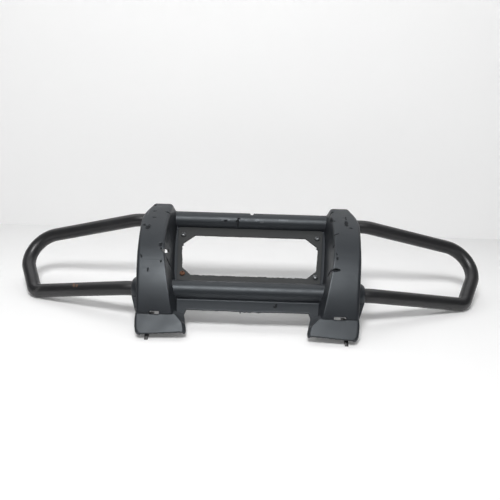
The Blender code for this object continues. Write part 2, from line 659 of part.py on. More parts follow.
cuts.append(tear("left_split", [
    (-156.1, 57.8), (-153.6, 46.0), (-152.3, 42.8), (-149.2, 37.4), (-142.0, 36.6), (-138.8, 35.4),
    (-139.2, 38.6), (-140.3, 43.2), (-147.6, 44.6), (-149.4, 46.4), (-152.4, 58.4)]))
cuts.append(tear("right_crack", [
    (138.0, 10.3), (138.9, 7.6), (142.9, 11.2), (148.1, 12.8), (155.6, 13.6), (155.3, 16.4),
    (145.6, 16.4), (140.5, 14.3)]))
NICK_TURN = math.radians(130)
nick_outline = [(10.6, 2), (11.9, -1.3), (13.3, -1.8), (14.6, -0.8), (15.4, 2)]
nick_spot = place(0, -BAR_R * math.cos(NICK_TURN), TUBE_SPACING + BAR_SHIFT + BAR_R * math.sin(NICK_TURN))
cuts.append(slab("bar_nick", [(x * MM, r * MM) for x, r in nick_outline], [], 16 * MM, cutters, nick_spot,
                 (NICK_TURN, 0, 0)))
for form in cuts:
    combine(cover, form, "DIFFERENCE")
finish(cover, cover_plastic)
bpy.context.view_layer.update()
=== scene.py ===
# %% [markdown]
# This lesson dresses the front bumper of an all-terrain vehicle: a loop of black steel tube,
# a moulded plastic cover over its middle and a panel with a window that was sawn by hand.
# The solids of all its pieces come ready from the frame, which fixes every size and place.
# The lesson keeps those and adds what a solid lacks: fine curves, worn edges and finishes.

import math

import bmesh
import bpy
import numpy as np
from mathutils import Matrix, Vector


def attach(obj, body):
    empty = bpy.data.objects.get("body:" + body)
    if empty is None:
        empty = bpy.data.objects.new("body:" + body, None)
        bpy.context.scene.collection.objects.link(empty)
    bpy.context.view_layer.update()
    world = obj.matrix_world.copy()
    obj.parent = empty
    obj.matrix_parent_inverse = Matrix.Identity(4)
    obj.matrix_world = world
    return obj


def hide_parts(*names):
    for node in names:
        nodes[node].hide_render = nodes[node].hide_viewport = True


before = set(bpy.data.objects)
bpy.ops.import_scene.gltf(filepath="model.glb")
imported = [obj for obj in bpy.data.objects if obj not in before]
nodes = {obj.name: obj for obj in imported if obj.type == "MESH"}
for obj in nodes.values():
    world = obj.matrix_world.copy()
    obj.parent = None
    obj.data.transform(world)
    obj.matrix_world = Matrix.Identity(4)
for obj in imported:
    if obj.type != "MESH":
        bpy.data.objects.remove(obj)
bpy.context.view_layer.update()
print("frame holds", len(nodes), "nodes")

# %% [markdown]
# The bumper lies on the floor as it was put down for the photograph, leaning back by 61
# degrees. It is far easier to think about in the flat: x across it, z from the lower tube
# to the upper tube, and n in front of the two tubes. The next cell turns such a flat point,
# in millimetres, into a point of the scene. Every later cell places its detail that way, so
# that a scratch or a weld stays on the piece that it belongs to.

# %% Flat layout to scene
MM = 0.001
LEAN = math.radians(-61)
TUBE_R = 12.7
TUBE_SPACING = 165.5
LOOP_CORNERS = [(0.15, 0, 0), (215.5, 0, 0), (406.4, -72.1, 40.1), (465.8, -72.7, TUBE_SPACING),
                (222.7, 0, TUBE_SPACING), (0.15, 0, TUBE_SPACING)]
LOOP_RADII = [60, 24, 50, 75]
lean_turn = Matrix.Rotation(LEAN, 3, "X")


def bend_path(corners, radii, step_deg):
    """Centre line of a bent tube: straight runs joined by circular bends."""
    line = [Vector(corners[0])]
    for before, corner, after, radius in zip(corners, corners[1:], corners[2:], radii):
        corner = Vector(corner)
        way_in = (Vector(before) - corner).normalized()
        way_out = (Vector(after) - corner).normalized()
        half = way_in.angle(way_out) / 2
        middle = corner + (way_in + way_out).normalized() * radius / math.sin(half)
        first = corner + way_in * radius / math.tan(half) - middle
        last = corner + way_out * radius / math.tan(half) - middle
        turn = math.pi - 2 * half
        count = max(2, round(math.degrees(turn) / step_deg))
        axis = first.cross(last)
        line += [middle + Matrix.Rotation(turn * i / count, 3, axis) @ first for i in range(count + 1)]
    return line + [Vector(corners[-1])]


flat_loop = bend_path([(x, -n, z) for x, n, z in LOOP_CORNERS], LOOP_RADII, 11)
floor_drop = min((lean_turn @ point).z for point in flat_loop) - TUBE_R
REST = Vector((0, -69.75, -floor_drop))


def spot(x, n, z):
    """Scene point, in metres, of a flat point in millimetres."""
    return (lean_turn @ Vector((x, -n, z)) + REST) * MM


print("the lower tube's axis runs", round(REST.z, 2), "mm above the floor")

# %% [markdown]
# The camera comes early, because every later choice is judged through it. It stands about
# a metre in front of the bumper and half a metre up, looks down by 20 degrees and is rolled
# by a degree and a half, as a picture taken by hand often is. The focal length follows from
# how fast the one-inch tube shrinks towards the back.

# %% Camera
camera_data = bpy.data.cameras.new("view_camera")
camera_data.sensor_width = 36
camera_data.lens = 41.64
YAW, PITCH, ROLL = 0.66, -20.2, 1.59
camera = bpy.data.objects.new("view_camera", camera_data)
bpy.context.scene.collection.objects.link(camera)
camera_place = Matrix.Translation((REST + Vector((12.0, -927.8, 419.9))) * MM)
camera_turn = (Matrix.Rotation(math.radians(YAW), 4, "Z")
               @ Matrix.Rotation(math.radians(90 + PITCH), 4, "X")
               @ Matrix.Rotation(math.radians(ROLL), 4, "Z"))
camera.matrix_world = camera_place @ camera_turn
bpy.context.scene.camera = camera
bpy.context.scene.view_settings.view_transform = "Standard"
print("camera stands", round(camera.location.z, 3), "m above the floor")

# %% [markdown]
# Materials are small chains of nodes. The first helper adds a node and fills its sockets in
# one call, which keeps each recipe short enough to read. Every surface here is mapped by
# its place in the room, or by its place in the flat layout, so that a scuff can be put at
# a known spot of the real object.

# %% Node helpers


def start_material(name):
    """New material with a Principled shader, returned with its node tree."""
    mat = bpy.data.materials.new(name)
    mat.use_nodes = True
    tree = mat.node_tree
    return mat, tree, tree.nodes["Principled BSDF"]


def add(tree, kind, *links, **settings):
    """Node of one kind; links fill its inputs in order, settings its own choices."""
    node = tree.nodes.new(kind)
    for key, value in settings.items():
        setattr(node, key, value)
    for i, link in enumerate(links):
        if isinstance(link, bpy.types.NodeSocket):
            tree.links.new(link, node.inputs[i])
        elif link is not None:
            node.inputs[i].default_value = link
    return node


def maths(tree, operation, a, b=0.5):
    return add(tree, "ShaderNodeMath", a, b, operation=operation).outputs[0]


def ramp(tree, value, low, high, to_low=0.0, to_high=1.0):
    """Value mapped from one range to another and held at its ends."""
    node = add(tree, "ShaderNodeMapRange", value, low, high, to_low, to_high)
    return node.outputs[0]


def noise(tree, coords, scale, detail=2.0, roughness=0.5):
    node = add(tree, "ShaderNodeTexNoise", coords)
    node.inputs["Scale"].default_value = scale
    node.inputs["Detail"].default_value = detail
    node.inputs["Roughness"].default_value = roughness
    return node.outputs["Fac"]


def mix(tree, share, a, b):
    """Colour a where share is 0, colour b where it is 1."""
    node = tree.nodes.new("ShaderNodeMix")
    node.data_type = "RGBA"
    for index, value in ((0, share), (6, a), (7, b)):
        if isinstance(value, bpy.types.NodeSocket):
            tree.links.new(value, node.inputs[index])
        elif index:
            node.inputs[index].default_value = (*value, 1.0)
        else:
            node.inputs[index].default_value = value
    return node.outputs[2]


def room_coords(tree):
    return tree.nodes.new("ShaderNodeTexCoord").outputs["Object"]


def flat_coords(tree):
    """Place in the flat layout, in metres, as (x, -n, z)."""
    back = Matrix.Rotation(-LEAN, 3, "X") @ (REST * MM)
    node = add(tree, "ShaderNodeMapping", room_coords(tree), -back, (-LEAN, 0, 0), vector_type="POINT")
    return node.outputs[0]


def bump(tree, height, strength, distance):
    node = add(tree, "ShaderNodeBump")
    node.inputs["Strength"].default_value = strength
    node.inputs["Distance"].default_value = distance
    tree.links.new(height, node.inputs["Height"])
    return node.outputs[0]


def marks(tree, coords, places):
    """1 inside any of the oval places, fading to 0 at their ragged rims.

    A place is (x, n, z, half length, half width, turn in the x-z plane in degrees)."""
    half_depth = 45 * MM
    nearest = None
    for x, n, z, length, width, turn in places:
        middle, tilt = (x * MM, -n * MM, z * MM), (0, -math.radians(turn), 0)
        local = add(tree, "ShaderNodeMapping", coords, middle, tilt,
                    (length * MM, half_depth, width * MM), vector_type="TEXTURE").outputs[0]
        reach = add(tree, "ShaderNodeVectorMath", local, operation="LENGTH").outputs["Value"]
        nearest = reach if nearest is None else maths(tree, "MINIMUM", nearest, reach)
    teeth = ramp(tree, noise(tree, coords, 420, 3), 0.3, 0.7, -0.45, 0.45)
    ragged = maths(tree, "ADD", nearest, teeth)
    return ramp(tree, ragged, 1.15, 0.75)


# %% [markdown]
# The moulded cover is black polypropylene gone charcoal with age. It has met branches and
# rocks: each knock left a dark dent with a pale burr. The list gives every knock once, as
# its place, its half sizes, its turn and its depth. A few entries sit over the split on the
# left and the crack on the right: their near-black is painted shade in and around those
# openings. The plastic is darkened by this list now, and the mesh is pressed in by the same
# list later, so that the two always agree.

# %% Knocks on the cover, with painted shade at the split and the crack
KNOCKS_AND_CRACK_SHADE = [
    (174.9, 136, 1.2, 6.0, 0, 1.0), (174.2, 119, 3.4, 9.0, 0, 0.9), (181.0, 107, 3.6, 1.8, -20, 0.7),
    (153.6, 127, 1.6, 2.4, 10, 0.8), (154.0, 90, 5.0, 1.6, 22, 0.8), (152.3, 46, 1.6, 2.8, 0, 0.5),
    (152.4, 36.5, 2.0, 3.4, 8, 0.5), (161.5, 176, 2.6, 3.4, 10, 0.9), (149.5, 137, 1.3, 9.0, 8, 0.9),
    (148.5, 66, 1.2, 2.0, 0, 0.4), (151.0, 158, 3.2, 2.6, 0, 0.8), (178, 170, 5.0, 1.2, -30, 0.5),
    (-182.5, 93, 4.6, 7.0, -12, 0.9), (-190, 99, 2.4, 3.6, 0, 0.6), (-178, 141, 4.5, 1.3, 8, 0.5),
    (-176, 121, 4.0, 1.3, 0, 0.4), (-154, 139, 4.4, 2.2, 0, 0.7), (-182, 165, 2.6, 5.0, 30, 0.8),
    # Painted shade of the left split: (-155.2, 54.0), (-153.4, 45.8) and (-141.4, 35.6).
    (-155.2, 54.0, 3.2, 4.8, 0, 1.2), (-153.4, 45.8, 1.6, 2.4, 20, 0.9),
    (-141.4, 35.6, 4.4, 2.4, -30, 1.0), (-151.0, 21.0, 1.5, 2.0, 0, 0.7),
    (-185.3, 29.6, 1.2, 3.4, 25, 0.6), (-172, 6, 1.4, 3.4, 0, 0.3),
    # Painted shade of the right crack: (149.0, 16.0) and (139.8, 20.4).
    (149.0, 16.0, 7.4, 2.4, 4, 0.5), (139.8, 20.4, 2.6, 2.6, 30, 0.9),
    (-48.2, 155.9, 3.0, 2.2, 10, 0.7), (-25.1, 154.4, 3.0, 4.6, 14, 1.0), (-23, 160.5, 2.4, 1.6, 0, 0.5),
    (49, -28, 1.8, 5.2, -14, 0.9), (46.5, -31, 1.4, 2.6, 20, 0.7)]
print(len(KNOCKS_AND_CRACK_SHADE), "knocks on the cover")

# %% [markdown]
# Moulded plastic has a fine grain, so its highlight is broad and soft, and rubbing turns it
# pale grey. The recipe is a base colour that drifts a little, faint scratches, a grain bump,
# the dark knocks with the painted shade at the split and the crack, and pale rubs where
# hands and branches pass. The thin pale lines along the creases near the feet and along the
# outer edges near the brow are painted highlights.

# %% Cover plastic
# Rubs, and painted highlights: the thin lines at x 131 to 146 run along the creases, those at x 189 to
# 191 along the outer edges.
RUBS_AND_EDGE_HIGHLIGHTS = [
    (146.4, 52, 25, 14, 0.9, 82), (139.2, 42, -10, 26, 0.9, 76), (131.5, 28, -41, 16, 0.7, 77),
    (-139.0, 42, -8, 30, 0.7, -77), (-64, 16, 8, 9, 1.6, 4), (-48, 16, 9, 6, 1.2, -3),
    (-20, 16, 8, 16, 0.9, 2), (-42, 14, 158.0, 3, 1.5, 0), (-55.4, 14, 157.3, 3, 1.2, 0),
    (12, 14, 159, 5, 1.6, 10), (21, 14, 155.8, 4, 1.6, 0), (60, 14, 160.5, 12, 1.2, 0),
    (-172, 50, 158, 6, 0.8, 4), (147, 45, 152, 4, 1.0, 30), (156, 30, 181, 8, 1.2, 0),
    (191, 40, 150, 0.9, 16, 0), (-189, 45, 140, 0.9, 14, 0)]
cover_plastic, tree, shader = start_material("cover_black_plastic")
flat = flat_coords(tree)
drift = noise(tree, flat, 7, 4)
grain = noise(tree, flat, 1500, 2)
stretched = add(tree, "ShaderNodeMapping", flat, None, (0, 0.35, 0), (25, 25, 700)).outputs[0]
lines = ramp(tree, noise(tree, stretched, 5, 3), 0.66, 0.78)
body = mix(tree, drift, (0.0135, 0.0150, 0.0180), (0.0215, 0.0240, 0.0280))
body = mix(tree, maths(tree, "MULTIPLY", lines, 0.3), body, (0.050, 0.053, 0.058))
rubs_and_edge_highlights = marks(tree, flat, RUBS_AND_EDGE_HIGHLIGHTS)
UPRIGHT_N, BAR_N, BAR_REACH = 40, 8, 100
gouges_and_crack_shade = marks(tree, flat, [(x, UPRIGHT_N if abs(x) > BAR_REACH else BAR_N, z, half_x, half_z, turn)
                            for x, z, half_x, half_z, turn, depth in KNOCKS_AND_CRACK_SHADE])
# pale: rubs, and painted highlights along the creases and outer edges
body = mix(tree, maths(tree, "MULTIPLY", rubs_and_edge_highlights, 0.55), body, (0.105, 0.110, 0.118))
# near-black: dark dents, and painted shade at the split and the crack
body = mix(tree, maths(tree, "MULTIPLY", gouges_and_crack_shade, 0.92), body, (0.004, 0.004, 0.005))
tree.links.new(body, shader.inputs["Base Color"])
gloss = ramp(tree, noise(tree, flat, 40, 3), 0.3, 0.7, 0.38, 0.48)
duller = maths(tree, "MULTIPLY", gouges_and_crack_shade, 0.4)
tree.links.new(maths(tree, "ADD", gloss, duller), shader.inputs["Roughness"])
shader.inputs["Specular Tint"].default_value = (0.88, 0.95, 1.0, 1.0)
grain_height = maths(tree, "MULTIPLY", grain, 0.10)
relief = maths(tree, "SUBTRACT", grain_height, maths(tree, "MULTIPLY", gouges_and_crack_shade, 0.6))
tree.links.new(bump(tree, relief, 0.6, 0.001), shader.inputs["Normal"])
print("cover plastic has", len(tree.nodes), "nodes")

# %% [markdown]
# The steel loop is sprayed black. Paint on tube is smoother than the grained plastic, so it
# shows a narrow bright streak along the top. It has worn through in places: a rusty patch on
# the left lower leg and pale scuffs on the outsides of the bends, where a bumper first
# touches things. The two thin pale lines along the top of the upper tube, one on each side,
# are painted highlights.

# %% Tube paint
SCUFFS_AND_TOP_HIGHLIGHTS = [
    (-452, -72, 120, 3, 14, 8), (-446, -64, 100, 3, 9, 6), (446, -64, 100, 3, 10, -6),
    (453, -72, 82, 3, 7, -8), (-400, -58, 30, 10, 3, 20), (212, 12, 6, 9, 3, 10),
    # Painted highlights along the top of the upper tube, left and right.
    (-330, -34, 176, 14, 1.5, 0), (330, -30, 176, 12, 1.2, 0)]
RUST_PLACES = [(-318, -26, 23, 2.5, 6.5, 15), (-311, -26, 19, 2, 3.5, 5), (-386, -60, 47, 2.5, 2, 0)]
tube_paint, tree, shader = start_material("tube_black_paint")
flat = flat_coords(tree)
body = mix(tree, noise(tree, flat, 12, 4), (0.014, 0.014, 0.015), (0.026, 0.026, 0.028))
specks = ramp(tree, noise(tree, flat, 260, 4, 0.7), 0.66, 0.72)
body = mix(tree, maths(tree, "MULTIPLY", specks, 0.5), body, (0.09, 0.088, 0.085))
scuffs_and_top_highlights = marks(tree, flat, SCUFFS_AND_TOP_HIGHLIGHTS)
# pale: scuffs, and painted highlights on top of the upper tube
body = mix(tree, maths(tree, "MULTIPLY", scuffs_and_top_highlights, 0.45), body, (0.11, 0.108, 0.105))
rusted = marks(tree, flat, RUST_PLACES)
rust_tone = mix(tree, noise(tree, flat, 700, 4), (0.10, 0.045, 0.022), (0.24, 0.15, 0.10))
body = mix(tree, maths(tree, "MULTIPLY", rusted, 0.8), body, rust_tone)
tree.links.new(body, shader.inputs["Base Color"])
gloss = ramp(tree, noise(tree, flat, 55, 3), 0.3, 0.7, 0.30, 0.42)
duller = maths(tree, "MULTIPLY", maths(tree, "MAXIMUM", rusted, scuffs_and_top_highlights), 0.3)
tree.links.new(maths(tree, "ADD", gloss, duller), shader.inputs["Roughness"])
relief = maths(tree, "ADD", maths(tree, "MULTIPLY", noise(tree, flat, 450, 2), 0.12),
               maths(tree, "MULTIPLY", rusted, 0.5))
tree.links.new(bump(tree, relief, 0.35, 0.001), shader.inputs["Normal"])
print("tube paint has", len(tree.nodes), "nodes")

# %% [markdown]
# The grille panel is another plastic: a flat sheet, paler and slightly green beside the
# cover, dull, with dust in its grain. Its window was cut by hand, so the cut edge is rough.

# %% Panel plastic
panel_plastic, tree, shader = start_material("panel_grey_plastic")
flat = flat_coords(tree)
body = mix(tree, noise(tree, flat, 22, 4), (0.010, 0.0115, 0.012), (0.019, 0.021, 0.0215))
dusty = ramp(tree, noise(tree, flat, 520, 4, 0.7), 0.55, 0.75)
body = mix(tree, maths(tree, "MULTIPLY", dusty, 0.3), body, (0.055, 0.058, 0.056))
tree.links.new(body, shader.inputs["Base Color"])
tree.links.new(ramp(tree, dusty, 0, 1, 0.52, 0.75), shader.inputs["Roughness"])
tree.links.new(bump(tree, noise(tree, flat, 900, 3), 0.35, 0.0006), shader.inputs["Normal"])
print("panel plastic has", len(tree.nodes), "nodes")

# %% [markdown]
# Three of the four screws are dull plated steel and one, at the lower left, has rusted. The
# plates and straps behind the cover are the same steel as the loop, sprayed more thinly.

# %% Steel finishes


def steel(name, bright, dark, metallic, low_gloss, high_gloss):
    """Plated or rusty steel: two tones in small patches, pitted by a fine bump."""
    mat, tree, shader = start_material(name)
    room = room_coords(tree)
    patches = ramp(tree, noise(tree, room, 600, 4, 0.65), 0.38, 0.62)
    tree.links.new(mix(tree, patches, dark, bright), shader.inputs["Base Color"])
    tree.links.new(ramp(tree, patches, 0, 1, low_gloss, high_gloss), shader.inputs["Roughness"])
    tree.links.new(bump(tree, noise(tree, room, 1800, 3), 0.3, 0.0003), shader.inputs["Normal"])
    shader.inputs["Metallic"].default_value = metallic
    return mat


plated_steel = steel("plated_steel", (0.25, 0.26, 0.27), (0.10, 0.105, 0.11), 0.8, 0.55, 0.4)
rusty_steel = steel("rusty_steel", (0.23, 0.105, 0.055), (0.07, 0.032, 0.020), 0.1, 0.9, 0.8)
plate_paint = steel("plate_black_paint", (0.020, 0.020, 0.021), (0.011, 0.011, 0.012), 0, 0.5, 0.38)
print("steel finishes made")

# %% [markdown]
# The cover is the piece that asks for the most care. On the real bumper it is one thin
# moulding: two bars that clasp the tubes, two bulging uprights, two flared feet and a
# skirt. The frame carries it with few facets, which show as bands in a soft highlight. So
# it is drawn again here from the same lines, with fine steps. The first cell lists those
# lines: each one says how far out an edge lies at a given height.

# %% Lines of the cover
UP = TUBE_SPACING
WALL, BACK_N, DEEP_N = 3.5, -3.0, -12.0
BAR_R, BAR_SHIFT, BAR_END = 18.5, 1.5, 165
FRONT_N, FOOT_N = 59.0, 13.6
ARC_Z, FOOT_Z, BROW_Z, CROWN_H = (UP - 5.5) / 2, -59.5, UP + 8.0, 15.7
CREASE_LINE = ((-60, 126), (-45, 130.5), (-20, 136), (5, 141), (30, 146), (60, 149.3),
               (UP - 45.5, 150.5), (UP - 15.5, 150.5), (UP + 6.5, 150.5), (UP + 22.5, 152.5))
RECESS_LINE = ((-60, 113), (-20, 120), (20, 128.5), (42, 132.5), (UP - 60.5, 138.5),
               (UP - 24.5, 140), (UP + 24.5, 137))
OUTER_LINE = ((-60, 186.5), (-35, 188), (0, 191), (35, 194), (63, 195.5), (UP - 55.5, 198),
              (UP - 37.5, 197.5), (UP - 23.5, 194), (UP - 11.5, 190.5), (UP - 5.5, 187.5),
              (UP + 8, 184.5), (UP + 24, 178.5))
CREASE_ROUND = ((-60, 1.6), (20, 2), (60, 4), (UP - 65.5, 6), (UP, 7), (UP + 22.5, 4.5))
CROWN_FALL = ((0.0, 1.0), (0.41, 0.751), (0.73, 0.455), (1.0, 0.0985))
SIDE_DRAFT, OUTER_ROUND = 5.0, 5.5
FOOT_FACE = ((-96, 3.5), (-60, 10.4), (-50, 10.4))
FOOT_INNER = ((-96, 105), (-90, 101.5), (-84, 100.5), (-50, 107.5))
FOOT_CREASE = ((-96, 107), (-84, 106), (-73, 108.5), (-50, 129))
FOOT_OUTER = ((-96, 176), (-93, 181.5), (-88, 185), (-80, 187), (-68, 188.4), (-50, 188.5))


def between(line, level):
    """Value of a line at one level, straight from point to point and held at its ends."""
    return float(np.interp(level, [p[0] for p in line], [p[1] for p in line]))


def eased(line, level, reach=7.0):
    """The same value with the line's kinks rounded over the reach on both sides."""
    return float(np.mean([between(line, level + reach * k / 4) for k in range(-4, 5)]))


front_width = eased(OUTER_LINE, ARC_Z) - eased(CREASE_LINE, ARC_Z)
print("at mid height the front of an upright is", round(front_width, 1), "mm wide")

# %% [markdown]
# All forms are lofts: rings of equal point count, stacked and skinned. A bar is a stack of
# circles, a flat sheet is a stack of two outlines, and an upright is a stack of sections
# whose crease is sharp at the foot and well rounded at the brow.

# %% Loft, bar, sheet and section


def flat_point(x, n, z):
    return Vector((x, -n, z)) * MM


def loft(rings):
    """Closed mesh over a stack of rings, with flat ends."""
    bm = bmesh.new()
    rows = [[bm.verts.new(point) for point in ring] for ring in rings]
    for low, high in zip(rows, rows[1:]):
        for k in range(len(low)):
            j = (k + 1) % len(low)
            bm.faces.new((low[k], low[j], high[j], high[k]))
    bm.faces.new(rows[0][::-1])
    bm.faces.new(rows[-1])
    bmesh.ops.recalc_face_normals(bm, faces=bm.faces)
    mesh = bpy.data.meshes.new("form")
    bm.to_mesh(mesh)
    bm.free()
    return bpy.data.objects.new("form", mesh)


def turned(profile, height=0.0, sides=88):
    """Round form along x at one height, from (x, radius) pairs."""
    turns = [2 * math.pi * k / sides for k in range(sides)]
    return loft([[flat_point(x, r * math.cos(t), height + r * math.sin(t)) for t in turns]
                 for x, r in profile])


def sheet(outline, n0, n1):
    """Straight-sided form over an outline of (x, z) points, from n0 to n1."""
    return loft([[flat_point(x, n, z) for x, z in outline] for n in (n0, n1)])


def fillet(points, radii, count):
    """Closed outline with a round of its own radius at every corner."""
    outline = []
    for i, (u, v) in enumerate(points):
        if radii[i] <= 0:
            outline.append((u, v))
            continue
        corner = Vector((u, v))
        way_in = (Vector(points[i - 1]) - corner).normalized()
        way_out = (Vector(points[(i + 1) % len(points)]) - corner).normalized()
        half = way_in.angle(way_out) / 2
        middle = corner + (way_in + way_out).normalized() * radii[i] / math.sin(half)
        first = corner + way_in * radii[i] / math.tan(half) - middle
        last = corner + way_out * radii[i] / math.tan(half) - middle
        turn = math.copysign(math.pi - 2 * half, first.cross(last))
        outline += [tuple(middle + Matrix.Rotation(turn * k / count, 2) @ first)
                    for k in range(count + 1)]
    return outline


front_rise = FRONT_N - FOOT_N
ARC_R = ((ARC_Z - FOOT_Z) ** 2 + front_rise ** 2) / (2 * front_rise)


def front_at(z, inset):
    """Distance n of the bulging front, moved inwards by inset."""
    brow = BROW_Z - inset
    arc = FRONT_N - ARC_R + math.sqrt((ARC_R - inset) ** 2 - (min(z, brow) - ARC_Z) ** 2)
    return arc if z <= brow else arc * between(CROWN_FALL, (z - brow) / CROWN_H)


def upright_ring(sign, z, inset, back_n):
    """Section through one upright at height z."""
    front = float(np.mean([front_at(z + step, inset) for step in (-2.4, -1.2, 0, 1.2, 2.4)]))
    crease, recess, outer = (eased(line, z) for line in (CREASE_LINE, RECESS_LINE, OUTER_LINE))
    corners = [(recess + inset, back_n), (crease + inset, front), (outer - inset, front),
               (outer + SIDE_DRAFT - inset, back_n)]
    rounds = [0, max(eased(CREASE_ROUND, z) - inset, 0.8), max(OUTER_ROUND - inset, 1.5), 0]
    return [flat_point(sign * x, n, z) for x, n in fillet(corners, rounds, 10)]


def foot_ring(sign, z, inset, back_n):
    """Section through one foot: flared flank, flat face, rounded outer side."""
    face = between(FOOT_FACE, z) - inset
    inner = eased(FOOT_INNER, z, 2.0) + inset
    crease = max(eased(FOOT_CREASE, z, 2.0) + inset, inner + 1.5)
    outer = between(FOOT_OUTER, z) - inset
    flank = min(face - 0.2, 0.5 - inset + max(0.0, 7.5 - (crease - inner)))
    corners = [(inner, back_n), (inner, flank), (crease, face), (outer, face), (outer + 1.5, back_n)]
    rounds = [0, 0, 0, max(4 - inset, 1.2), 0]
    return [flat_point(sign * x, n, z) for x, n in fillet(corners, rounds, 5)]


print("the front bulges on a radius of", round(ARC_R, 1), "mm")

# %% [markdown]
# Joined first, hollowed afterwards: the same order as in a drawing of a moulding. These are
# the outer forms: two bars, two uprights with their feet, the collars where the tubes come
# out, the skirt with its worn lower edge, and the ledge that the panel is screwed to. One
# seeded generator makes all the rough edges, so that every run gives the same ones.

# %% Outer forms
SKIRT_Z, SKIRT_X, COLLAR_X = -41.3, 104.5, 203.5
chance = np.random.default_rng(7)


def rough_edge(start, end, step, depth):
    """Points along a rough straight edge: slow waves with small random teeth on them."""
    (x0, z0), (x1, z1) = start, end
    length = math.hypot(x1 - x0, z1 - z0)
    count = max(2, round(length / step))
    points = []
    for i in range(count):
        t = i / count
        wave = math.sin(0.21 * t * length) + 0.6 * math.sin(0.57 * t * length + 1.0)
        off = depth * (0.35 * wave + float(chance.normal(0, 0.5))) if i else 0.0
        points.append((x0 + (x1 - x0) * t - (z1 - z0) / length * off,
                       z0 + (z1 - z0) * t + (x1 - x0) / length * off))
    return points


def both(points):
    """Right-hand outline followed by its mirror image."""
    return list(points) + [(-x, z) for x, z in reversed(points)]


worn_skirt = [(-32, -41.4), (-21, -42.0), (-15, -41.7), (-13.4, -42.6), (-12.6, -45.8), (-11.7, -45.6),
              (-11.4, -42.2), (-8, -42.4), (-5, -43.3), (-1, -42.3), (4, -43.2), (9, -42.1), (15, -42.4),
              (19, -43.4), (25, -42.0), (40, -41.5)]
skirt_line = rough_edge((-SKIRT_X, SKIRT_Z), worn_skirt[0], 1.6, 0.35) + worn_skirt
skirt_line += rough_edge(worn_skirt[-1], (SKIRT_X, SKIRT_Z), 1.6, 0.35)[1:]
skirt_end = [(SKIRT_X, SKIRT_Z), (107.5, -53), (126, -57), (126, -8)]
collar = [(184, 0.5), (184, 21), (195.5, 21), (198.5, 19.8), (202, 17), (COLLAR_X, 14.2), (COLLAR_X, 0.5)]
fin = [(186, -6), (COLLAR_X - 0.4, -6), (COLLAR_X - 0.4, -15), (191.5, -48), (184, -52)]
CROWN_Z = BROW_Z + CROWN_H
upright_heights = list(np.arange(FOOT_Z, BROW_Z, 3.0)) + list(np.linspace(BROW_Z, CROWN_Z, 12))
foot_heights = list(np.arange(-96, -50, 1.5)) + [-50]
bar = [(-BAR_END, BAR_R), (BAR_END, BAR_R)]
outer_forms = [turned(bar, height) for height in (-BAR_SHIFT, UP + BAR_SHIFT)]
for sign in (1, -1):
    outer_forms += [
        loft([upright_ring(sign, z, 0, DEEP_N) for z in upright_heights]),
        loft([foot_ring(sign, z, 0, DEEP_N) for z in foot_heights]),
        turned([(sign * x, r) for x, r in collar]), sheet([(sign * x, z) for x, z in fin], -9, 3)]
outer_forms += [
    sheet(skirt_line + skirt_end + [(-x, z) for x, z in reversed(skirt_end[1:])], -9.5, 0.5),
    sheet(both([(145, 8), (149, UP - 9.5)]), -8, 0)]
print(len(outer_forms), "outer forms")

# %% [markdown]
# The inner forms are what comes out again. A block cuts the back flat, a smaller copy of
# each upright and foot leaves an even wall, and stepped bores leave the narrow seats that
# grip the tubes. In the photograph one sees right through the slots over the feet and
# through the split on the left. The camera looks down on them, so a straight hole would
# show the inside instead: their cutters climb and spread as they go deeper, along the view.

# %% Inner forms
SCREW_WAY_R = 3.3
SCREW_SPOTS = {"upper": (126.6, UP - 37.9), "lower": (119.0, 34.0)}
WINDOW = [(104.1, 31.8), (121.0, 48.6), (126.9, UP - 60.8), (104.4, UP - 37.7)]
TEAR_CLIMB, TEAR_SPREAD, TEAR_N = 0.84, 0.19, 56.0
SLOTS = ([(145, -62.9), (166, -62.9), (166, -56.6), (145, -56.6)],
         [(-147.5, -62.9), (-164.5, -62.9), (-164.5, -56.4), (-147.5, -56.4)])
SLOT_SPREAD = 0.16
LEFT_SPLIT = [(-154.2, 45.6), (-149.2, 38.6), (-144.4, 36.4), (-138.6, 37.8), (-139.6, 42.8),
              (-148.9, 45.4)]
RIGHT_CRACK = [(142.2, 11.4), (150.9, 12.8), (157.2, 15.5), (153.4, 18.2), (147.4, 18.3),
               (142.2, 15.6)]


def slanted(outline, drawn_n, front_n, deep_n, climb=TEAR_CLIMB, spread=TEAR_SPREAD):
    """Cutter whose outline, drawn at one n, climbs and spreads as it goes deeper."""
    rings = []
    for n in (front_n, deep_n):
        depth = drawn_n - n
        rings.append([flat_point(x + math.copysign(spread, x) * depth, n, z + climb * depth)
                      for x, z in outline])
    return loft(rings)


def screw_way(x, z, sides):
    """Round outline of the way that a screw passes through."""
    turns = np.linspace(0, 2 * math.pi, sides + 1)[:-1]
    return [(x + SCREW_WAY_R * math.cos(t), z + SCREW_WAY_R * math.sin(t)) for t in turns]


def bore(reach=215.0, roomy=14.5, snug=13.0):
    """Stepped hollow round a tube, with four narrow seats that grip it."""
    half = []
    for seat in (30, 95):
        half += [(seat - 1.5, roomy), (seat - 1.5, snug), (seat + 1.5, snug), (seat + 1.5, roomy)]
    half += [(170, roomy), (170, snug), (reach, snug)]
    return [(-x, r) for x, r in reversed(half)] + half


